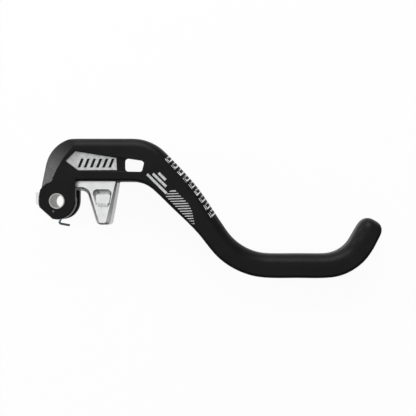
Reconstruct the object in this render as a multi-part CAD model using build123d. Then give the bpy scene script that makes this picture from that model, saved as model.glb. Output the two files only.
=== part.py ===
from build123d import *
import math
import os

# Bicycle brake lever for one finger: a black forged blade with a silver push rocker in its arm.
# Millimetres. The origin is on the pivot axis at the middle of the blade's thickness, +Z runs along
# the pivot, +X points to the tip and +Y away from the handlebar. The lever lies flat.

# Blade: arm and ears
blade_thickness = 12.0
ear_radius = 5.55
ear_flat_depth = 0.65
ear_flat_angle = 228.0
ear_chamfer = 0.35
ear_gap = 6.9
arm_top = 19.0
arm_bottom = 6.0
arm_end = 22.2
arm_top_round = 3.0
arm_bottom_round = 0.9
throat_radius = 1.0
head_corner_x = -2.15
head_corner_radius = 9.6
facet_axis = (24.7, -2.9)
facet_radius = 27.65
facet_angle = 60.0
facet_tilt = 33.0
facet_end = 10.0
boss_rim = 0.5

# Blade: bar from the arm's end to the tip
shoulder_outer_radius = 14.0
shoulder_inner_radius = 10.6
shoulder_turn = 45.8
neck_length = 2.25
neck_depth = 10.4
neck_foot_depth = 10.2
sag_radius = 135.0
sag_turn = 8.9
waist_depth = 7.35
bend_radius = 19.9
grip_length = 16.25
grip_depth = 7.2
grip_thickness = 10.8
grip_round = 3.4
grip_back_round = 0.9
hook_radius = 13.25
hook_turn = 60.6
hook_depth = 7.0
tip_length = 3.65
tip_cap_length = 4.6
tip_bluntness = 2.6
tip_thickness = 10.0
round_limit = 0.49
shoulder_steps = 8
cap_angles = (25, 45, 62, 76, 86)

# Blade: recess in both faces of the arm, and the drafted window through it
recess_depth = 0.6
recess_nose_x = 2.4
recess_nose_drop = 6.9
recess_crest_x = 5.5
recess_crest_drop = 3.8
recess_heel_x = 6.3
recess_heel_rise = 3.15
recess_end_reach = 4.25
recess_end_drop = 7.0
recess_end_rise = 2.8
recess_end_slant = 0.8
recess_corner = 0.25
window_web = 1.55
window_corner = 0.95
window_draft = 5.5

# Blade: slot for the rocker
slot_headroom = 3.0
slot_end_clearance = 0.55
slot_wall = 2.6
slot_mouth_clearance = 0.3
slot_facet_wall = 1.9
slot_corner = 1.0

# Pivot
pin_diameter = 4.0
pin_clearance = 0.02
sleeve_wall = 0.33
sleeve_inset = 0.15
hub_clearance = 0.04
washer_thickness = 0.3
washer_overhang = 0.12
washer_play = 0.03

# Return spring
wire_diameter = 0.7
coil_inner_play = 0.5
coil_gap = 0.1
coil_turns = 2.75
coil_play = 0.2
anchor_run = 0.75
anchor_bend = 0.55
anchor_inset = 0.2
anchor_clearance = 0.1
leg_bend_x = -0.5
leg_overhang = 1.25
leg_bend_radius = 0.6
leg_end_length = 3.6
leg_end_angle = -10.0
leg_slot_play = 0.55

# Rocker
rocker_hub_wall = 0.8
rocker_back_drop = 8.4
rocker_back_start = 2.8
rocker_back_end = 17.6
rocker_root = (18.55, 5.6)
rocker_tip_right = 16.3
rocker_tip_left = 11.45
rocker_tip_bottom = -7.2
rocker_tip_round = 1.2
rocker_finger_lean = 16.8
rocker_draft = 13.0
rocker_chamfer = 0.55
rocker_chamfer_depth = 0.45
rocker_bevel = 1.3
rocker_face_round = 0.6
arch_top = 3.15
arch_radius = 1.9
pocket_depth = 1.35
pocket_top = 3.6
pocket_bottom = -1.9
pocket_rim_left = 1.85
pocket_rim_right = 1.7
pocket_corner = 1.3
pocket_wall_left = 1.3
pocket_wall_right = 0.5
pocket_wall_top = 1.55
pocket_wall_bottom = 1.2
pocket_floor_corner = 0.5
lug_reach = 7.0
lug_top = 2.65
lug_bottom = -1.35
lug_cut = 0.8
lug_step = 0.6

# Reach screw
screw_x = 13.7
screw_diameter = 5.0
screw_clearance = 0.03
screw_inset = 1.4
screw_chamfer = 0.4
screw_nose_diameter = 3.6
screw_nose_length = 1.2
socket_lobes = 6
socket_lobe_circle = 1.45
socket_core_radius = 1.35
socket_lobe_radius = 0.55
socket_depth = 2.2
ball_diameter = 3.0
ball_exposure = 1.1
ball_clearance = 0.02
thrust_gap = 0.05
pellet_diameter = 1.4
pellet_cover = 0.25

# Sizes that follow from the ones above
blade_half = blade_thickness / 2
gap_half = ear_gap / 2
pin_bore_radius = pin_diameter / 2 + pin_clearance
sleeve_radius = pin_bore_radius + sleeve_wall
wire_radius = wire_diameter / 2
coil_radius = sleeve_radius + coil_inner_play + wire_radius
coil_room_radius = coil_radius + wire_radius + coil_play
coil_pitch = wire_diameter + coil_gap
rocker_half = gap_half - washer_thickness - 2 * washer_play
rocker_hub_radius = coil_room_radius + rocker_hub_wall
rocker_back = arm_top - rocker_back_drop
slot_roof = rocker_back + slot_headroom
slot_end = rocker_root[0] + slot_end_clearance
window_start = slot_end + window_web
screw_radius = screw_diameter / 2
ball_radius = ball_diameter / 2
beyond = 4 * arm_end


def polar(radius, degrees):
    """Point on a circle about the pivot."""
    return Vector(radius * math.cos(math.radians(degrees)), radius * math.sin(math.radians(degrees)))


def prism(face, bottom, top):
    """Flat outline raised between two heights."""
    return extrude(Pos(0, 0, bottom) * face, amount=top - bottom)


def disc(radius, bottom, top):
    """Round slab about the pivot axis."""
    slab = Cylinder(radius, top - bottom, align=(Align.CENTER, Align.CENTER, Align.MIN))
    return Pos(0, 0, bottom) * slab


def upright_rod(radius, low, high):
    """Round bar along the reach screw's axis, between two heights in Y."""
    axis = Plane(origin=(screw_x, low, 0), x_dir=(1, 0, 0), z_dir=(0, 1, 0))
    return axis * Cylinder(radius, high - low, align=(Align.CENTER, Align.CENTER, Align.MIN))


def ear_flat_cut():
    """Block that leaves the flat on the lower left of the ears and washers."""
    block = Box(beyond, beyond, beyond, align=(Align.MIN, Align.CENTER, Align.CENTER))
    return Rot(0, 0, ear_flat_angle) * Pos(ear_radius - ear_flat_depth, 0, 0) * block


# Spring stations that the rocker, washer and ear make room for
coil_height = coil_pitch * coil_turns
coil_climb = coil_pitch / (2 * math.pi * coil_radius)
coil_top = rocker_half - coil_play - wire_radius
coil_bottom = coil_top - coil_height
coil_floor = coil_bottom - wire_radius - coil_play
leg_bend = Vector(leg_bend_x, -ear_radius - leg_overhang)
leg_run = math.sqrt(leg_bend.length**2 - coil_radius**2)
leg_angle = math.degrees(math.atan2(leg_bend.Y, leg_bend.X) + math.acos(coil_radius / leg_bend.length))
leg_heading = (leg_bend - polar(coil_radius, leg_angle)).normalized()
anchor_turn = leg_angle + 360 * coil_turns
anchor_start = polar(coil_radius, anchor_turn) + Vector(0, 0, coil_top)
anchor_heading = polar(1, anchor_turn + 90) + Vector(0, 0, coil_climb)
anchor_corner = anchor_start + anchor_heading * anchor_run


def anchor_hole():
    """Hole for the spring's anchored end in the front washer and ear."""
    hole = disc(wire_radius + anchor_clearance, 0, blade_thickness)
    return Pos(anchor_corner.X, anchor_corner.Y, 0) * hole


def head_outline():
    """Arm and ears seen along the pivot, with a sharp outer corner."""
    corner = Vector(head_corner_x, arm_top)
    tangent = math.degrees(math.atan2(corner.Y, corner.X) + math.acos(ear_radius / corner.length))
    return make_face(
        Polyline(
            polar(ear_radius, tangent),
            corner,
            (arm_end, arm_top),
            (arm_end, arm_bottom),
            (ear_radius, arm_bottom),
            (ear_radius, 0),
            (0, 0),
            close=True,
        )
    )


def facet_cut():
    """Space outside a cone that turns the broad facet across the outer corner, clear of the pivot boss."""
    spread = blade_thickness / math.tan(math.radians(facet_tilt))
    cone = Cone(
        facet_radius + spread / 2,
        facet_radius - spread / 2,
        blade_thickness,
        align=(Align.CENTER, Align.CENTER, Align.MIN),
    )
    corner = Box(beyond, beyond, blade_thickness, align=(Align.MAX, Align.CENTER, Align.MIN))
    boss = disc(ear_radius + boss_rim, 0, blade_thickness)
    return Pos(facet_end, 0, 0) * corner - Pos(*facet_axis, 0) * cone - boss


def head():
    """Arm block with rounded long edges, the ears, and the facets on both faces."""
    outline = head_outline()
    arm = prism(outline, -blade_half, blade_half)
    arm = fillet(arm.edges().filter_by(Axis.X).group_by(Axis.Y)[-1], arm_top_round)
    along = arm.edges().filter_by(Axis.X)
    under = along.filter_by(lambda edge: abs(edge.center().Y - arm_bottom) < ear_chamfer)
    arm = fillet(under, arm_bottom_round)
    corner = outline.vertices().sort_by_distance((head_corner_x, arm_top))[0]
    arm = arm & prism(fillet(corner, head_corner_radius), -blade_half, blade_half)
    ear = disc(ear_radius, -blade_half, blade_half) - ear_flat_cut()
    ear = chamfer(ear.edges().group_by(Axis.Z)[-1] + ear.edges().group_by(Axis.Z)[0], ear_chamfer)
    return arm + ear - facet_cut() - mirror(facet_cut(), about=Plane.XY)


def bar_profile(depth, thickness, upper_round, lower_round):
    """Section of the bar: a rectangle with its own edge rounds on the upper and lower sides."""
    side = depth / 2
    half = thickness / 2
    limit = round_limit * min(depth, thickness)
    up = min(upper_round, limit)
    low = min(lower_round, limit)
    return make_face(
        [
            Line((-side + low, -half), (side - up, -half)),
            CenterArc((side - up, -half + up), up, -90, 90),
            Line((side, -half + up), (side, half - up)),
            CenterArc((side - up, half - up), up, 0, 90),
            Line((side - up, half), (-side + low, half)),
            CenterArc((-side + low, half - low), low, 90, 90),
            Line((-side, half - low), (-side, -half + low)),
            CenterArc((-side + low, -half + low), low, 180, 90),
        ]
    )


def along_runs(start, heading, runs, distance):
    """Place and heading at a distance along runs that each have a length and a turn."""
    for length, turn in runs:
        share = min(distance / length, 1)
        half_turn = math.radians(turn * share) / 2
        chord = length * share * (math.sin(half_turn) / half_turn if half_turn else 1)
        start = start + polar(chord, heading + turn * share / 2)
        heading += turn * share
        distance -= length * share
    return start, heading


def shoulder_edges(share):
    """Points across from each other on the shoulder's outer and inner edges."""
    turn = math.radians(shoulder_turn)
    start = Vector(arm_end, arm_bottom)
    arc = (shoulder_inner_radius * turn, -shoulder_turn)
    inner = along_runs(start, 0, [arc], arc[0] * share)[0]
    foot, heading = along_runs(start, 0, [arc], arc[0])
    crown = foot + polar(neck_depth, heading + 90)
    slope = (arm_top - crown.Y) / math.sin(turn)
    level = crown.X - slope * math.cos(turn) - arm_end
    tangent = min(shoulder_outer_radius * math.tan(turn / 2), 2 * round_limit * min(level, slope))
    bend = (tangent / math.tan(turn / 2) * turn, -shoulder_turn)
    runs = [(level - tangent, 0), bend, (slope - tangent, 0)]
    reach = sum(length for length, _ in runs) * share
    return along_runs(Vector(arm_end, arm_top), 0, runs, reach)[0], inner


def bar():
    """Neck, grip and hook: sections lofted along straight runs and bends, closed by a round cap."""
    level_turn = shoulder_turn + sag_turn
    arm_shape = (arm_top - arm_bottom, blade_thickness, arm_top_round, arm_bottom_round)
    neck_shape = (neck_depth, *arm_shape[1:])
    foot_shape = (neck_foot_depth, *arm_shape[1:])
    waist_shape = (waist_depth, blade_thickness, grip_round, grip_back_round)
    grip_shape = (grip_depth, grip_thickness, grip_round, grip_back_round)
    hook_shape = (hook_depth, grip_thickness, grip_round, grip_back_round)
    tip_shape = (hook_depth, tip_thickness, grip_round, grip_back_round)
    # Each run after the shoulder: length, turn in degrees, number of sections, and the section at its end
    runs = [
        (neck_length, 0, 2, foot_shape),
        (sag_radius * math.radians(sag_turn), -sag_turn, 5, waist_shape),
        (bend_radius * math.radians(level_turn), level_turn, 5, grip_shape),
        (grip_length, 0, 2, grip_shape),
        (hook_radius * math.radians(hook_turn), hook_turn, 5, hook_shape),
        (tip_length, 0, 1, tip_shape),
    ]

    def section(at, degrees, shape):
        plane = Plane(origin=at, x_dir=polar(1, degrees + 90), z_dir=polar(1, degrees))
        return plane * bar_profile(*shape)

    sections = []
    for step in range(shoulder_steps + 1):
        outer, inner = shoulder_edges(step / shoulder_steps)
        across = outer - inner
        heading = math.degrees(math.atan2(across.Y, across.X)) - 90
        place = (outer + inner) / 2
        sections.append(section(place, heading, (across.length, *arm_shape[1:])))
    shape = neck_shape
    for length, turn, count, target in runs:
        start, start_heading = place, heading
        for step in range(1, count + 1):
            share = step / count
            place, heading = along_runs(start, start_heading, [(length, turn)], length * share)
            eased = (1 - math.cos(math.pi * share)) / 2
            size = [a + (b - a) * eased for a, b in zip(shape, target)]
            sections.append(section(place, heading, size))
        shape = target
    for degrees in cap_angles:
        reach = math.sin(math.radians(degrees)) ** (2 / tip_bluntness)
        shrink = math.cos(math.radians(degrees)) ** (2 / tip_bluntness)
        at = place + polar(tip_cap_length * reach, heading)
        sections.append(section(at, heading, [value * shrink for value in shape]))
    return loft(sections)


def recess_outline():
    """Pointed shallow field on the arm's face."""
    end_x = arm_end + recess_end_reach
    return make_face(
        Polyline(
            (recess_nose_x, arm_top - recess_nose_drop),
            (recess_crest_x, arm_top - recess_crest_drop),
            (end_x, arm_top - recess_end_drop),
            (end_x - recess_end_slant, arm_bottom + recess_end_rise),
            (recess_heel_x, arm_bottom + recess_heel_rise),
            close=True,
        )
    )


def window_outline(height, growth):
    """End of the recess from the web onwards, grown by the draft."""
    right_part = Pos(window_start, 0) * Rectangle(beyond, beyond, align=(Align.MIN, Align.CENTER))
    outline = offset(recess_outline() & right_part, growth, kind=Kind.INTERSECTION)
    return Pos(0, 0, height) * fillet(outline.vertices(), window_corner)


def window():
    """Opening in the end of the recess, right through the arm and wider towards the back."""
    slope = math.tan(math.radians(window_draft))
    recess_floor = blade_half - recess_depth
    ends = (blade_half, -blade_half - recess_depth)
    return loft([window_outline(height, (recess_floor - height) * slope) for height in ends], ruled=True)


def slot():
    """Room for the rocker: between the ears, and up into the arm behind a closed outer wall."""
    wall_foot = -ear_radius + slot_wall
    mouth_top = ear_radius + washer_overhang + slot_mouth_clearance
    wall_shift = (blade_half - gap_half - slot_facet_wall) / math.tan(math.radians(facet_tilt))
    wall = Vector(*facet_axis) + polar(facet_radius + wall_shift, facet_angle + 90)
    outside = Pos(wall.X, wall.Y) * Rot(0, 0, facet_angle) * Rectangle(
        beyond, beyond, align=(Align.CENTER, Align.MIN)
    )
    room = Pos(slot_end, slot_roof) * Rectangle(
        slot_end - wall_foot, slot_roof + ear_radius, align=(Align.MAX, Align.MAX)
    )
    room = offset(offset(room - outside, -slot_corner), slot_corner)
    mouth = Pos(slot_end, mouth_top) * Rectangle(beyond, beyond, align=(Align.MAX, Align.MAX))
    return prism(room + mouth, -gap_half, gap_half)


def lever_blade():
    """The forged blade with everything machined into it."""
    recess = fillet(recess_outline().vertices(), recess_corner)
    front_recess = prism(recess, blade_half - recess_depth, blade_half + recess_depth)
    throat = Pos(ear_radius, arm_bottom) * (
        Rectangle(throat_radius, throat_radius, align=(Align.MIN, Align.MAX))
        - Pos(throat_radius, -throat_radius) * Circle(throat_radius)
    )
    blade = head() + prism(throat, -blade_half, blade_half) + bar()
    blade = blade - slot() - front_recess - mirror(front_recess, about=Plane.XY) - window()
    blade = blade - disc(sleeve_radius, -blade_thickness, blade_thickness) - anchor_hole()
    screw_hole = upright_rod(screw_radius + screw_clearance, slot_roof - slot_corner, arm_top + slot_corner)
    return blade - screw_hole


def pivot_sleeve():
    """Turned sleeve pressed through both ears."""
    half = blade_half - sleeve_inset
    return disc(sleeve_radius, -half, half) - disc(pin_bore_radius, -blade_half, blade_half)


def thrust_washer(side, radius):
    """Thin washer against the inner face of one ear; one as wide as the ear has the same flat."""
    outer = gap_half - washer_play
    bottom = min(side * outer, side * (outer - washer_thickness))
    washer = disc(radius, bottom, bottom + washer_thickness) - ear_flat_cut()
    washer = washer - disc(sleeve_radius + hub_clearance, -blade_half, blade_half)
    return washer - anchor_hole()


def finger_left(height):
    """Left edge of the rocker's finger at a height."""
    lean = math.tan(math.radians(rocker_finger_lean))
    return rocker_tip_left - lean * (height - rocker_tip_bottom)


def finger_right(height):
    """Right edge of the rocker's finger at a height."""
    share = (height - rocker_tip_bottom) / (rocker_root[1] - rocker_tip_bottom)
    return rocker_tip_right + (rocker_root[0] - rocker_tip_right) * share


def rounded(corners, radius):
    """Straight-sided outline with rounded corners."""
    outline = make_face(Polyline(*corners, close=True))
    return fillet(outline.vertices(), radius)


def pocket():
    """Shallow pocket in the finger's front face, with sloping walls down to a smaller floor."""
    left = finger_left(pocket_top) + pocket_rim_left
    mouth = rounded(
        [
            (left, pocket_top),
            (finger_right(pocket_top) - pocket_rim_right, pocket_top),
            (finger_right(pocket_bottom) - pocket_rim_right, pocket_bottom),
            (finger_left(pocket_bottom) + pocket_rim_left, pocket_bottom),
        ],
        pocket_corner,
    )
    floor_top = pocket_top - pocket_wall_top
    floor_bottom = pocket_bottom + pocket_wall_bottom
    right_rim = pocket_rim_right + pocket_wall_right
    floor = rounded(
        [
            (left + pocket_wall_left, floor_top),
            (finger_right(floor_top) - right_rim, floor_top),
            (finger_right(floor_bottom) - right_rim, floor_bottom),
            (left + pocket_wall_left, floor_bottom),
        ],
        pocket_floor_corner,
    )
    floor = Pos(0, 0, rocker_half - pocket_depth) * floor
    return loft([Pos(0, 0, rocker_half) * mouth, floor], ruled=True)


def rocker_outline(inset, right_inset, end_inset, tip_round):
    """Arm and finger along the pivot, moved in along the finger, at its tip's right side and at its end."""
    across = inset / math.cos(math.radians(rocker_finger_lean))
    bottom = rocker_tip_bottom + end_inset
    arch = arch_top + inset
    arch_corner = (finger_left(arch) + across, arch)
    outline = make_face(
        Polyline(
            (0, 0),
            (0, rocker_hub_radius),
            (rocker_back_start, rocker_back),
            (rocker_back_end, rocker_back),
            (rocker_root[0] - inset, rocker_root[1]),
            (rocker_tip_right - right_inset, bottom),
            (finger_left(bottom) + across, bottom),
            arch_corner,
            (0, arch),
            close=True,
        )
    )
    outline = fillet(outline.vertices().sort_by_distance(arch_corner)[0], arch_radius + inset)
    return fillet(outline.vertices().group_by(Axis.Y)[0], tip_round)


def rocker_arm():
    """Arm in the slot and V-shaped finger below it, with drafted walls and a chamfer round both faces."""
    chamfer_start = rocker_half - rocker_chamfer_depth
    draft = chamfer_start * math.tan(math.radians(rocker_draft))
    middle = rocker_outline(0, 0, 0, rocker_tip_round)
    edge = rocker_outline(draft, draft, 0, rocker_tip_round)
    face_inset = draft + rocker_chamfer
    face = rocker_outline(face_inset, draft + rocker_bevel, rocker_chamfer, rocker_face_round)
    half = loft([middle, Pos(0, 0, chamfer_start) * edge, Pos(0, 0, rocker_half) * face], ruled=True)
    return half + mirror(half, about=Plane.XY)


def rocker():
    """Push rocker: hub on the sleeve, chamfered arm and finger with a pocket, and a stop lug."""
    lug = make_face(
        Polyline(
            (0, lug_top),
            (-lug_reach, lug_top),
            (-lug_reach, lug_bottom + lug_cut),
            (-lug_reach + lug_cut, lug_bottom),
            (0, lug_bottom),
            close=True,
        )
    )
    body = rocker_arm() + disc(rocker_hub_radius, -rocker_half, rocker_half)
    body = body + prism(lug, -rocker_half + lug_step, rocker_half - lug_step)
    body = body - pocket() - mirror(pocket(), about=Plane.XY)
    body = body - disc(sleeve_radius + hub_clearance, -blade_half, blade_half)
    body = body - disc(coil_room_radius, coil_floor, blade_half)
    leg_start = polar(coil_radius, leg_angle) + Vector(0, 0, coil_floor)
    leg_plane = Plane(origin=leg_start, x_dir=leg_heading, z_dir=(0, 0, 1))
    leg_width = wire_diameter + 2 * leg_slot_play
    leg_room = Box(leg_run, leg_width, blade_half - coil_floor, align=(Align.MIN, Align.CENTER, Align.MIN))
    return body - leg_plane * leg_room


def wire_along(path, start, heading):
    """Spring wire swept along a path."""
    return sweep(Plane(origin=start, z_dir=heading) * Circle(wire_radius), path=path)


def return_spring():
    """Torsion spring round the sleeve: an anchored end in the front ear and a free bent leg."""
    helix = Helix(coil_pitch, coil_height, coil_radius)
    coil_path = Pos(0, 0, coil_bottom) * Rot(0, 0, leg_angle) * helix
    start = polar(coil_radius, leg_angle) + Vector(0, 0, coil_bottom)
    leg_out = leg_heading - Vector(0, 0, coil_climb)
    coil = sweep(Plane(origin=start, z_dir=-leg_out) * Circle(wire_radius), path=coil_path, is_frenet=True)
    bend = start + leg_out * leg_run
    leg_end = bend + polar(leg_end_length, leg_end_angle)
    leg = wire_along(FilletPolyline(start, bend, leg_end, radius=leg_bend_radius), start, leg_out)
    anchor_end = Vector(anchor_corner.X, anchor_corner.Y, blade_half - anchor_inset)
    anchor_path = FilletPolyline(anchor_start, anchor_corner, anchor_end, radius=anchor_bend)
    return coil + leg + wire_along(anchor_path, anchor_start, anchor_heading)


# Reach screw stations along its axis
ball_centre = rocker_back + thrust_gap + ball_radius
screw_tip = rocker_back + thrust_gap + ball_exposure
screw_head = arm_top - screw_inset
socket_floor = screw_head - socket_depth
pellet_height = socket_floor - pellet_cover - pellet_diameter / 2


def ball_at(radius):
    """Sphere at the nose of the reach screw."""
    return Pos(screw_x, ball_centre, 0) * Sphere(radius)


def pellet_rod():
    """Round plug across the screw, from near its axis outwards."""
    start = (screw_x + pellet_diameter / 2, pellet_height, 0)
    rod = Cylinder(pellet_diameter / 2, screw_diameter, align=(Align.CENTER, Align.CENTER, Align.MIN))
    return Plane(origin=start, x_dir=(0, 1, 0), z_dir=(1, 0, 0)) * rod


def reach_screw():
    """Grub screw with a six-lobe socket, a nose that holds the thrust ball and a pellet hole."""
    shank = upright_rod(screw_radius, screw_tip + screw_nose_length, screw_head)
    screw = chamfer(shank.edges().filter_by(GeomType.CIRCLE), screw_chamfer)
    screw = screw + upright_rod(screw_nose_diameter / 2, screw_tip, socket_floor)
    socket = upright_rod(socket_core_radius, socket_floor, arm_top)
    for lobe in range(socket_lobes):
        away = polar(socket_lobe_circle, 360 * lobe / socket_lobes)
        socket = socket + Pos(away.X, 0, away.Y) * upright_rod(socket_lobe_radius, socket_floor, arm_top)
    return screw - socket - ball_at(ball_radius + ball_clearance) - pellet_rod()


def lock_pellet():
    """Nylon pellet flush with the screw's thread."""
    return pellet_rod() & upright_rod(screw_radius, screw_tip, screw_head)


pieces = {
    "lever_blade": lever_blade(),
    "rocker": rocker(),
    "pivot_sleeve": pivot_sleeve(),
    "front_washer": thrust_washer(1, ear_radius + washer_overhang),
    "rear_washer": thrust_washer(-1, rocker_hub_radius),
    "return_spring": return_spring(),
    "reach_screw": reach_screw(),
    "thrust_ball": ball_at(ball_radius),
    "lock_pellet": lock_pellet(),
}

os.makedirs("parts", exist_ok=True)
for name, piece in pieces.items():
    piece.label = name
    export_step(piece, f"parts/{name}.step")
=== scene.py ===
import math

import bmesh
import bpy
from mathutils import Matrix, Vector
from mathutils.bvhtree import BVHTree


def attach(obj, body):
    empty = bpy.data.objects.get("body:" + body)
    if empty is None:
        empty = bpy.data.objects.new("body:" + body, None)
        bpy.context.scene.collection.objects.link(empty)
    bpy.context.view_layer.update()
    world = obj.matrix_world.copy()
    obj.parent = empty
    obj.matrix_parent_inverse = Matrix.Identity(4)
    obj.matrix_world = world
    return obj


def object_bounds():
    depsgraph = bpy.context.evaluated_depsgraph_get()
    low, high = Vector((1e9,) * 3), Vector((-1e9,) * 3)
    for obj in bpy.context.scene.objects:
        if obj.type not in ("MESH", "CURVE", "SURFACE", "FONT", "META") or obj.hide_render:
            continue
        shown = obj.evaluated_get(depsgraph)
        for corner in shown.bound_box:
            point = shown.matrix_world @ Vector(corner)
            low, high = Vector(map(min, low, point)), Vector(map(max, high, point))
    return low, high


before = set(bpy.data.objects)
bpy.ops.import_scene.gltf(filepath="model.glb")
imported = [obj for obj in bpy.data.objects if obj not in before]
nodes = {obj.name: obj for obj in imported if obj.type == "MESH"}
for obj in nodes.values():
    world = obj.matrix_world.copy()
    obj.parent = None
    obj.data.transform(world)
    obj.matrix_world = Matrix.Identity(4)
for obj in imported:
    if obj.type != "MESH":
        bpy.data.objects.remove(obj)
cad_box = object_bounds()


# Lever blade: one aluminium forging from the ears to the hook, machined at the pivot and in the
# arm, then bead blasted and anodised black. The forged solid is its shape, so it only gets a finish.
def place(tree, kind, inputs=None, **settings):
    """Adds one shader node with its settings, and a value or a link for each named input."""
    node = tree.nodes.new("ShaderNode" + kind)
    for name, value in settings.items():
        setattr(node, name, value)
    for name, value in (inputs or {}).items():
        if isinstance(value, bpy.types.NodeSocket):
            tree.links.new(value, node.inputs[name])
        else:
            node.inputs[name].default_value = value
    return node


def open_group(name, takes, gives):
    """Starts a node group with named inputs and outputs; returns its tree, input and output nodes."""
    tree = bpy.data.node_groups.new(name, "ShaderNodeTree")
    for title, value in takes.items():
        socket = tree.interface.new_socket(title, in_out="INPUT", socket_type="NodeSocketFloat")
        socket.default_value = value
    for title, kind in gives.items():
        tree.interface.new_socket(title, in_out="OUTPUT", socket_type="NodeSocket" + kind)
    return tree, tree.nodes.new("NodeGroupInput"), tree.nodes.new("NodeGroupOutput")


def new_finish(name):
    """Starts a material; returns it with its tree and its Principled shader."""
    material = bpy.data.materials.new(name)
    material.use_nodes = True
    return material, material.node_tree, material.node_tree.nodes["Principled BSDF"]


def use_group(tree, group, **inputs):
    """Places a node group in a material with this material's own values."""
    node = tree.nodes.new("ShaderNodeGroup")
    node.node_tree = group
    for name, value in inputs.items():
        node.inputs[name.replace("_", " ").title()].default_value = value
    return node


# Fine peened grain of blasted metal: small pits, and broad clouds where the blast was uneven
blasted, entry, leave = open_group(
    "blasted_grain",
    {"Grain Per Metre": 5000.0, "Clouds Per Metre": 300.0},
    {"Height": "Float", "Fleck": "Float", "Cloud": "Float"},
)
where = place(blasted, "TexCoord").outputs["Object"]
pits = place(
    blasted,
    "TexNoise",
    {"Vector": where, "Scale": entry.outputs["Grain Per Metre"], "Detail": 3.0, "Roughness": 0.6},
)
clouds = place(
    blasted,
    "TexNoise",
    {"Vector": where, "Scale": entry.outputs["Clouds Per Metre"], "Detail": 4.0},
)
fleck = place(
    blasted, "MapRange", {"Value": pits.outputs["Fac"], "From Min": 0.35, "From Max": 0.65}
)
cloud = place(
    blasted, "MapRange", {"Value": clouds.outputs["Fac"], "From Min": 0.32, "From Max": 0.68}
)
blasted.links.new(pits.outputs["Fac"], leave.inputs["Height"])
blasted.links.new(fleck.outputs["Result"], leave.inputs["Fleck"])
blasted.links.new(cloud.outputs["Result"], leave.inputs["Cloud"])

# Broken edges: a softened normal along every sharp edge, and how much of an edge each point is
rubbed, entry, leave = open_group(
    "rubbed_edge", {"Radius": 0.0002}, {"Normal": "Vector", "Edge": "Float"}
)
soft = place(rubbed, "Bevel", {"Radius": entry.outputs["Radius"]}, samples=6)
true = place(rubbed, "NewGeometry")
along = place(
    rubbed, "VectorMath", {0: soft.outputs["Normal"], 1: true.outputs["Normal"]}, operation="DOT_PRODUCT"
)
edge = place(
    rubbed,
    "MapRange",
    {"Value": along.outputs["Value"], "From Min": 0.99, "From Max": 0.80},
)
rubbed.links.new(soft.outputs["Normal"], leave.inputs["Normal"])
rubbed.links.new(edge.outputs["Result"], leave.inputs["Edge"])

black_anodised, tree, shader = new_finish("black_anodised")
grain = use_group(tree, blasted, grain_per_metre=2300.0, clouds_per_metre=160.0)
rub = use_group(tree, rubbed, radius=0.00022)
dye = place(
    tree,
    "Mix",
    {"Factor": grain.outputs["Cloud"], "A": (0.0045, 0.0046, 0.0054, 1), "B": (0.0075, 0.0076, 0.0084, 1)},
    data_type="RGBA",
)
# The dye is mixed lighter along every sharp edge.
lighter_edges = place(
    tree,
    "Mix",
    {"Factor": rub.outputs["Edge"], "A": dye.outputs["Result"], "B": (0.028, 0.028, 0.029, 1)},
    data_type="RGBA",
)
satin = place(
    tree,
    "MapRange",
    {"Value": grain.outputs["Fleck"], "To Min": 0.31, "To Max": 0.43},
)
peen = place(
    tree,
    "Bump",
    {
        "Strength": 0.5,
        "Distance": 0.00004,
        "Height": grain.outputs["Height"],
        "Normal": rub.outputs["Normal"],
    },
)
tree.links.new(lighter_edges.outputs["Result"], shader.inputs["Base Color"])
tree.links.new(satin.outputs["Result"], shader.inputs["Roughness"])
tree.links.new(peen.outputs["Normal"], shader.inputs["Normal"])
shader.inputs["Specular IOR Level"].default_value = 0.14
nodes["lever_blade"].data.materials[0] = black_anodised


# Printed marks: ink stamped on the finished blade. In silver, a panel with slanted bars lies in the
# arm's recess, and three bars and a ruled field lie on the neck. In white, a row of open slants runs
# down the neck's outer edge.
silver_ink, tree, shader = new_finish("silver_ink")
grain = use_group(tree, blasted, grain_per_metre=3600.0, clouds_per_metre=900.0)
ink_tone = place(
    tree,
    "Mix",
    {"Factor": grain.outputs["Cloud"], "A": (0.52, 0.53, 0.52, 1), "B": (0.73, 0.74, 0.73, 1)},
    data_type="RGBA",
)
dry = place(
    tree, "MapRange", {"Value": grain.outputs["Fleck"], "To Min": 0.38, "To Max": 0.58}
)
tree.links.new(ink_tone.outputs["Result"], shader.inputs["Base Color"])
tree.links.new(dry.outputs["Result"], shader.inputs["Roughness"])
shader.inputs["Metallic"].default_value = 0.25

blade_mesh = nodes["lever_blade"].data
blade_skin = BVHTree.FromPolygons(
    [vertex.co for vertex in blade_mesh.vertices], [face.vertices for face in blade_mesh.polygons]
)
ink_lift = 0.000015
above = 0.02
downwards = Vector((0, 0, -1))


def ink_face(marks, corners):
    """Adds one flat ink shape above the blade, from corners seen from above."""
    marks.faces.new([marks.verts.new((x, y, above)) for x, y in corners])


def rule(marks, start, across, pitch, count, gap):
    """Cuts parallel lines through flat ink shapes; returns the faces that fall in the gaps."""
    for number in range(count):
        for edge in (0, gap):
            parts = marks.verts[:] + marks.edges[:] + marks.faces[:]
            line = start + across * (number * pitch + edge)
            bmesh.ops.bisect_plane(marks, geom=parts, plane_co=line, plane_no=across)
    depth = {face: (face.calc_center_median() - start).dot(across) for face in marks.faces}
    return [face for face, deep in depth.items() if 0 < deep < count * pitch and deep % pitch < gap]


def stamp(name, marks, ink, toward):
    """Presses flat ink shapes onto the blade along a direction, as a piece that moves with it."""
    for vertex in marks.verts:
        spot, normal, _, _ = blade_skin.ray_cast(vertex.co, toward)
        vertex.co = spot + normal * ink_lift
    mesh = bpy.data.meshes.new(name)
    marks.to_mesh(mesh)
    marks.free()
    mesh.materials.append(ink)
    piece = bpy.data.objects.new(name, mesh)
    bpy.context.scene.collection.objects.link(piece)
    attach(piece, "blade")


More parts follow.
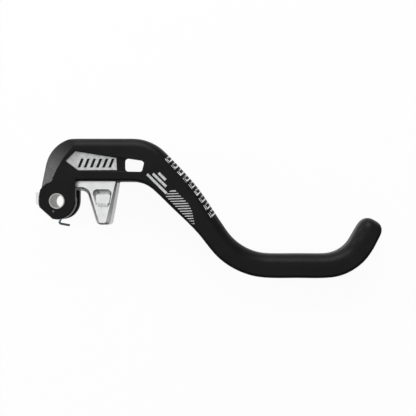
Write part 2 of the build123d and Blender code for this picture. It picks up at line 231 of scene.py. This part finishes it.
# Panel: bars are left open between a plain strip along its lower edge and the plain top
panel_corners = (
    (0.00265, 0.0121),
    (0.00642, 0.00932),
    (0.0181, 0.00936),
    (0.0179, 0.0130),
    (0.00558, 0.01502),
)
bar_low = 0.0101
bar_high = 0.0128
bar_slant = math.radians(68)
bar_first_x = 0.0062
bar_pitch = 0.00172
bar_gap = 0.00078
bar_count = 6
panel = bmesh.new()
ink_face(panel, panel_corners)
for level in (bar_low, bar_high):
    parts = panel.verts[:] + panel.edges[:] + panel.faces[:]
    bmesh.ops.bisect_plane(panel, geom=parts, plane_co=(0, level, 0), plane_no=(0, 1, 0))
bar_across = Vector((math.sin(bar_slant), -math.cos(bar_slant), 0))
bar_first = Vector((bar_first_x, bar_low, 0))
open_bars = rule(panel, bar_first, bar_across, bar_pitch, bar_count, bar_gap)
open_bars = [face for face in open_bars if bar_low < face.calc_center_median().y < bar_high]
bmesh.ops.delete(panel, geom=open_bars, context="FACES")
stamp("panel_print", panel, silver_ink, downwards)

# Three bars along the neck's lower edge, each shorter than the one below it
neck_slope = math.radians(-44.5)
neck_along = Vector((math.cos(neck_slope), math.sin(neck_slope), 0))
neck_across = Vector((-neck_along.y, neck_along.x, 0))
bar_start = Vector((0.0270, 0.0078, 0))
neck_bar_count = 3
neck_bar_pitch = 0.00135
neck_bar_width = 0.00075
neck_bar_length = 0.0082
neck_bar_loss = 0.0026
neck_bar_shift = 0.0011
bars = bmesh.new()
for number in range(neck_bar_count):
    near = bar_start + (neck_across * neck_bar_pitch + neck_along * neck_bar_shift) * number
    far = near + neck_along * (neck_bar_length - neck_bar_loss * number)
    width = neck_across * neck_bar_width
    ink_face(bars, [corner.xy for corner in (near, far, far + width, near + width)])
stamp("neck_bars", bars, silver_ink, downwards)

# Ruled field on the neck: fine lines with gaps between them
field_corners = (
    (0.0327, 0.0016),
    (0.04115, -0.00725),
    (0.0416, -0.00725),
    (0.0408, -0.0031),
    (0.0396, -0.00075),
    (0.03575, 0.00325),
    (0.0343, 0.00315),
)
line_tilt = math.radians(2)
line_first = Vector((0.035, 0.00282, 0))
line_pitch = 0.000767
line_gap = 0.00048
line_count = 14
field = bmesh.new()
ink_face(field, field_corners)
down_field = Vector((math.sin(line_tilt), -math.cos(line_tilt), 0))
gaps = rule(field, line_first, down_field, line_pitch, line_count, line_gap)
bmesh.ops.delete(field, geom=gaps, context="FACES")
stamp("neck_field", field, silver_ink, downwards)

# Row of open slants in whiter ink round the neck's outer edge
white_ink, tree, shader = new_finish("white_ink")
grain = use_group(tree, blasted, grain_per_metre=3600.0, clouds_per_metre=900.0)
white_tone = place(
    tree,
    "Mix",
    {"Factor": grain.outputs["Cloud"], "A": (0.76, 0.77, 0.76, 1), "B": (0.88, 0.89, 0.88, 1)},
    data_type="RGBA",
)
tree.links.new(white_tone.outputs["Result"], shader.inputs["Base Color"])
shader.inputs["Roughness"].default_value = 0.5
row_start = Vector((0.0330, 0.0136, 0))
row_slope = math.radians(-50.9)
row_along = Vector((math.cos(row_slope), math.sin(row_slope), 0))
row_out = Vector((-row_along.y, row_along.x, 0))
row_clear = 0.008
row_cuts = 30
slant_count = 9
slant_pitch = 0.0026
slant_length = 0.0017
slant_lean = 0.0005
slant_half = 0.00565
slant_stroke = 0.00038
slants = bmesh.new()
for number in range(slant_count):
    near = row_start + row_along * (slant_pitch * number) + row_out * row_clear
    rise = row_along * slant_lean + Vector((0, 0, slant_half))
    length = row_along * slant_length
    corners = (near - rise, near - rise + length, near + rise + length, near + rise)
    slants.faces.new([slants.verts.new(corner) for corner in corners])
slants.normal_update()
rims = bmesh.ops.inset_individual(
    slants, faces=slants.faces[:], thickness=slant_stroke, use_even_offset=True
)
inside = [face for face in slants.faces if face not in rims["faces"]]
bmesh.ops.delete(slants, geom=inside, context="FACES")
upright = [edge for edge in slants.edges if abs(edge.verts[0].co.z - edge.verts[1].co.z) > slant_half]
bmesh.ops.subdivide_edges(slants, edges=upright, cuts=row_cuts, use_grid_fill=True)
stamp("edge_row", slants, white_ink, -row_out)


# Pivot sleeve and thrust washers: turned and stamped bright steel. The sleeve is pressed through
# both ears, and a washer lies between each ear and the rocker's hub.
turned_steel, tree, shader = new_finish("turned_steel")
where = place(tree, "TexCoord").outputs["Object"]
marks_per_metre = (400, 400, 9000)
rings = place(tree, "Mapping", {"Vector": where, "Scale": marks_per_metre})
tool_marks = place(tree, "TexNoise", {"Vector": rings.outputs["Vector"], "Scale": 1.0, "Detail": 2.0})
tone = place(
    tree,
    "Mix",
    {"Factor": tool_marks.outputs["Fac"], "A": (0.42, 0.415, 0.41, 1), "B": (0.62, 0.615, 0.60, 1)},
    data_type="RGBA",
)
shine = place(
    tree, "MapRange", {"Value": tool_marks.outputs["Fac"], "To Min": 0.22, "To Max": 0.40}
)
cut = place(tree, "Bump", {"Strength": 0.25, "Distance": 0.00001, "Height": tool_marks.outputs["Fac"]})
tree.links.new(tone.outputs["Result"], shader.inputs["Base Color"])
tree.links.new(shine.outputs["Result"], shader.inputs["Roughness"])
tree.links.new(cut.outputs["Normal"], shader.inputs["Normal"])
shader.inputs["Metallic"].default_value = 1.0
for name in ("pivot_sleeve", "front_washer", "rear_washer"):
    nodes[name].data.materials[0] = turned_steel


# Rocker: forged aluminium push arm, blasted and left bare, with milled chamfers and a drafted pocket.
# It turns on the sleeve between the washers and bears on the piston's push rod.
bare_aluminium, tree, shader = new_finish("bare_blasted_aluminium")
grain = use_group(tree, blasted, grain_per_metre=5200.0, clouds_per_metre=420.0)
tone = place(
    tree,
    "Mix",
    {"Factor": grain.outputs["Cloud"], "A": (0.79, 0.80, 0.80, 1), "B": (0.90, 0.905, 0.90, 1)},
    data_type="RGBA",
)
sparkle = place(
    tree, "MapRange", {"Value": grain.outputs["Fleck"], "To Min": 0.24, "To Max": 0.33}
)
peen = place(
    tree, "Bump", {"Strength": 0.3, "Distance": 0.00003, "Height": grain.outputs["Height"]}
)
tree.links.new(tone.outputs["Result"], shader.inputs["Base Color"])
tree.links.new(sparkle.outputs["Result"], shader.inputs["Roughness"])
tree.links.new(peen.outputs["Normal"], shader.inputs["Normal"])
shader.inputs["Metallic"].default_value = 1.0
nodes["rocker"].data.materials[0] = bare_aluminium


# Return spring: oiled blue-grey spring wire wound round the sleeve, with one end bent into the front
# ear and a free leg bent below the ears. The cut wire end is plain grey, and the bend is tinted by
# heat.
leg_bend = (-0.0005, -0.0068, 0.0)
tint_core = 0.0004
tint_reach = 0.0016
cut_end_start = 0.0050
cut_end_full = 0.0055
spring_wire, tree, shader = new_finish("oiled_spring_wire")
where = place(tree, "TexCoord").outputs["Object"]
scale_marks = place(tree, "TexNoise", {"Vector": where, "Scale": 1800.0, "Detail": 3.0})
steel = place(
    tree,
    "Mix",
    {"Factor": scale_marks.outputs["Fac"], "A": (0.10, 0.115, 0.13, 1), "B": (0.22, 0.24, 0.26, 1)},
    data_type="RGBA",
)
bend = place(tree, "VectorMath", {0: where, 1: leg_bend}, operation="DISTANCE")
tint = place(
    tree, "MapRange", {"Value": bend.outputs["Value"], "From Min": tint_reach, "From Max": tint_core}
)
heated = place(
    tree,
    "Mix",
    {"Factor": tint.outputs["Result"], "A": steel.outputs["Result"], "B": (0.10, 0.20, 0.22, 1)},
    data_type="RGBA",
)
height = place(tree, "SeparateXYZ", {"Vector": where})
cut_end = place(
    tree,
    "MapRange",
    {"Value": height.outputs["Z"], "From Min": cut_end_start, "From Max": cut_end_full},
)
wire_tone = place(
    tree,
    "Mix",
    {"Factor": cut_end.outputs["Result"], "A": heated.outputs["Result"], "B": (0.13, 0.13, 0.13, 1)},
    data_type="RGBA",
)
oiled = place(
    tree, "MapRange", {"Value": scale_marks.outputs["Fac"], "To Min": 0.24, "To Max": 0.44}
)
tree.links.new(wire_tone.outputs["Result"], shader.inputs["Base Color"])
tree.links.new(oiled.outputs["Result"], shader.inputs["Roughness"])
shader.inputs["Metallic"].default_value = 1.0
nodes["return_spring"].data.materials[0] = spring_wire


# Reach screw, thrust ball and lock pellet: a black oxide grub screw with a six-lobe socket, a hard
# polished ball held in its nose, and a nylon pellet in its thread that keeps it from working loose.
black_oxide, tree, shader = new_finish("black_oxide")
grain = use_group(tree, blasted, grain_per_metre=6000.0, clouds_per_metre=700.0)
rub = use_group(tree, rubbed, radius=0.0001)
oxide = place(
    tree,
    "Mix",
    {"Factor": grain.outputs["Cloud"], "A": (0.035, 0.036, 0.040, 1), "B": (0.075, 0.073, 0.070, 1)},
    data_type="RGBA",
)
scuffed = place(
    tree,
    "Mix",
    {"Factor": rub.outputs["Edge"], "A": oxide.outputs["Result"], "B": (0.30, 0.30, 0.29, 1)},
    data_type="RGBA",
)
dull = place(
    tree, "MapRange", {"Value": grain.outputs["Fleck"], "To Min": 0.34, "To Max": 0.52}
)
tree.links.new(scuffed.outputs["Result"], shader.inputs["Base Color"])
tree.links.new(dull.outputs["Result"], shader.inputs["Roughness"])
tree.links.new(rub.outputs["Normal"], shader.inputs["Normal"])
shader.inputs["Metallic"].default_value = 0.85
nodes["reach_screw"].data.materials[0] = black_oxide

polished_ball, tree, shader = new_finish("polished_ball")
grain = use_group(tree, blasted, grain_per_metre=9000.0, clouds_per_metre=1500.0)
lapped = place(
    tree,
    "Mix",
    {"Factor": grain.outputs["Cloud"], "A": (0.66, 0.66, 0.67, 1), "B": (0.78, 0.78, 0.78, 1)},
    data_type="RGBA",
)
gloss = place(
    tree, "MapRange", {"Value": grain.outputs["Fleck"], "To Min": 0.08, "To Max": 0.16}
)
tree.links.new(lapped.outputs["Result"], shader.inputs["Base Color"])
tree.links.new(gloss.outputs["Result"], shader.inputs["Roughness"])
shader.inputs["Metallic"].default_value = 1.0
nodes["thrust_ball"].data.materials[0] = polished_ball

blue_nylon, tree, shader = new_finish("blue_nylon")
grain = use_group(tree, blasted, grain_per_metre=7000.0, clouds_per_metre=1200.0)
nylon = place(
    tree,
    "Mix",
    {"Factor": grain.outputs["Cloud"], "A": (0.07, 0.16, 0.48, 1), "B": (0.11, 0.22, 0.58, 1)},
    data_type="RGBA",
)
matt = place(
    tree, "MapRange", {"Value": grain.outputs["Fleck"], "To Min": 0.5, "To Max": 0.65}
)
tree.links.new(nylon.outputs["Result"], shader.inputs["Base Color"])
tree.links.new(matt.outputs["Result"], shader.inputs["Roughness"])
nodes["lock_pellet"].data.materials[0] = blue_nylon


# Studio: a white table that keeps a faint contact shadow, under a ceiling that is bright overhead and
# dim at the sides. A soft key lamp stands low on the left, with weaker lamps behind and on the right,
# and the camera hangs straight above the lever's front face.
floor_size = 6.0
floor_gap = 0.00002
floor_level = cad_box[0].z - floor_gap
seen_white = 0.95
mirrored_white = 0.4
floor_mesh = bmesh.new()
bmesh.ops.create_grid(floor_mesh, x_segments=1, y_segments=1, size=floor_size / 2)
bmesh.ops.translate(floor_mesh, verts=floor_mesh.verts, vec=(0, 0, floor_level))
floor_data = bpy.data.meshes.new("table_top")
floor_mesh.to_mesh(floor_data)
floor_mesh.free()
floor = bpy.data.objects.new("table_top", floor_data)
bpy.context.scene.collection.objects.link(floor)

table_white, tree, shader = new_finish("table_white")
shader.inputs["Base Color"].default_value = (0.95, 0.95, 0.95, 1)
shader.inputs["Roughness"].default_value = 0.9
shader.inputs["Specular IOR Level"].default_value = 0.0
paper = place(tree, "Emission", {"Color": (1, 1, 1, 1), "Strength": 1.0})
ray = place(tree, "LightPath")
bounced = place(
    tree,
    "Math",
    {0: ray.outputs["Is Glossy Ray"], 1: ray.outputs["Is Transmission Ray"]},
    operation="MAXIMUM",
)
mirrored = place(tree, "Math", {0: bounced.outputs["Value"], 1: mirrored_white}, operation="MULTIPLY")
seen = place(tree, "Math", {0: ray.outputs["Is Camera Ray"], 1: seen_white}, operation="MULTIPLY")
share = place(
    tree, "Math", {0: seen.outputs["Value"], 1: mirrored.outputs["Value"]}, operation="MAXIMUM"
)
top = place(
    tree,
    "MixShader",
    {0: share.outputs["Value"], 1: shader.outputs["BSDF"], 2: paper.outputs["Emission"]},
)
tree.links.new(top.outputs["Shader"], tree.nodes["Material Output"].inputs["Surface"])
floor_data.materials.append(table_white)

side_white = 0.02
overhead_white = 0.97
ceiling_whites = {0.5: 0.05, 0.85: 0.24, 0.95: 0.94}
world = bpy.data.worlds.new("studio")
bpy.context.scene.world = world
world.use_nodes = True
tree = world.node_tree
sky = place(tree, "TexCoord").outputs["Generated"]
height = place(tree, "SeparateXYZ", {"Vector": sky})
level = place(tree, "ValToRGB", {"Fac": height.outputs["Z"]})
stops = level.color_ramp.elements
stops[0].color = (side_white, side_white, side_white, 1)
stops[1].color = (overhead_white, overhead_white, overhead_white, 1)
for rise, white in ceiling_whites.items():
    stops.new(rise).color = (white, white, white, 1)
tree.links.new(level.outputs["Color"], tree.nodes["Background"].inputs["Color"])

lamp_distance = 0.60


def lamp(name, azimuth, elevation, width, height, watts):
    """Soft lamp in a direction from the lever, turned towards it."""
    turn = math.radians(azimuth)
    lift = math.radians(elevation)
    away = Vector((math.cos(turn) * math.cos(lift), math.sin(turn) * math.cos(lift), math.sin(lift)))
    light = bpy.data.lights.new(name, "AREA")
    light.shape = "RECTANGLE"
    light.size = width
    light.size_y = height
    light.energy = watts
    stand = bpy.data.objects.new(name, light)
    stand.location = (cad_box[0] + cad_box[1]) / 2 + away * lamp_distance
    stand.rotation_euler = (-away).to_track_quat("-Z", "Y").to_euler()
    bpy.context.scene.collection.objects.link(stand)


lamp("key_lamp", azimuth=165, elevation=12, width=0.30, height=0.16, watts=3.2)
lamp("back_lamp", azimuth=95, elevation=31, width=0.50, height=0.50, watts=2.7)
lamp("fill_lamp", azimuth=25, elevation=25, width=0.60, height=0.60, watts=0.35)

camera_spot = (0.0456, -0.00211, 0.267)
camera_data = bpy.data.cameras.new("camera")
camera_data.sensor_width = 36.0
camera_data.lens = 75.0
camera_data.clip_start = 0.01
camera = bpy.data.objects.new("camera", camera_data)
camera.location = camera_spot
bpy.context.scene.collection.objects.link(camera)
bpy.context.scene.camera = camera
bpy.context.scene.view_settings.view_transform = "Standard"
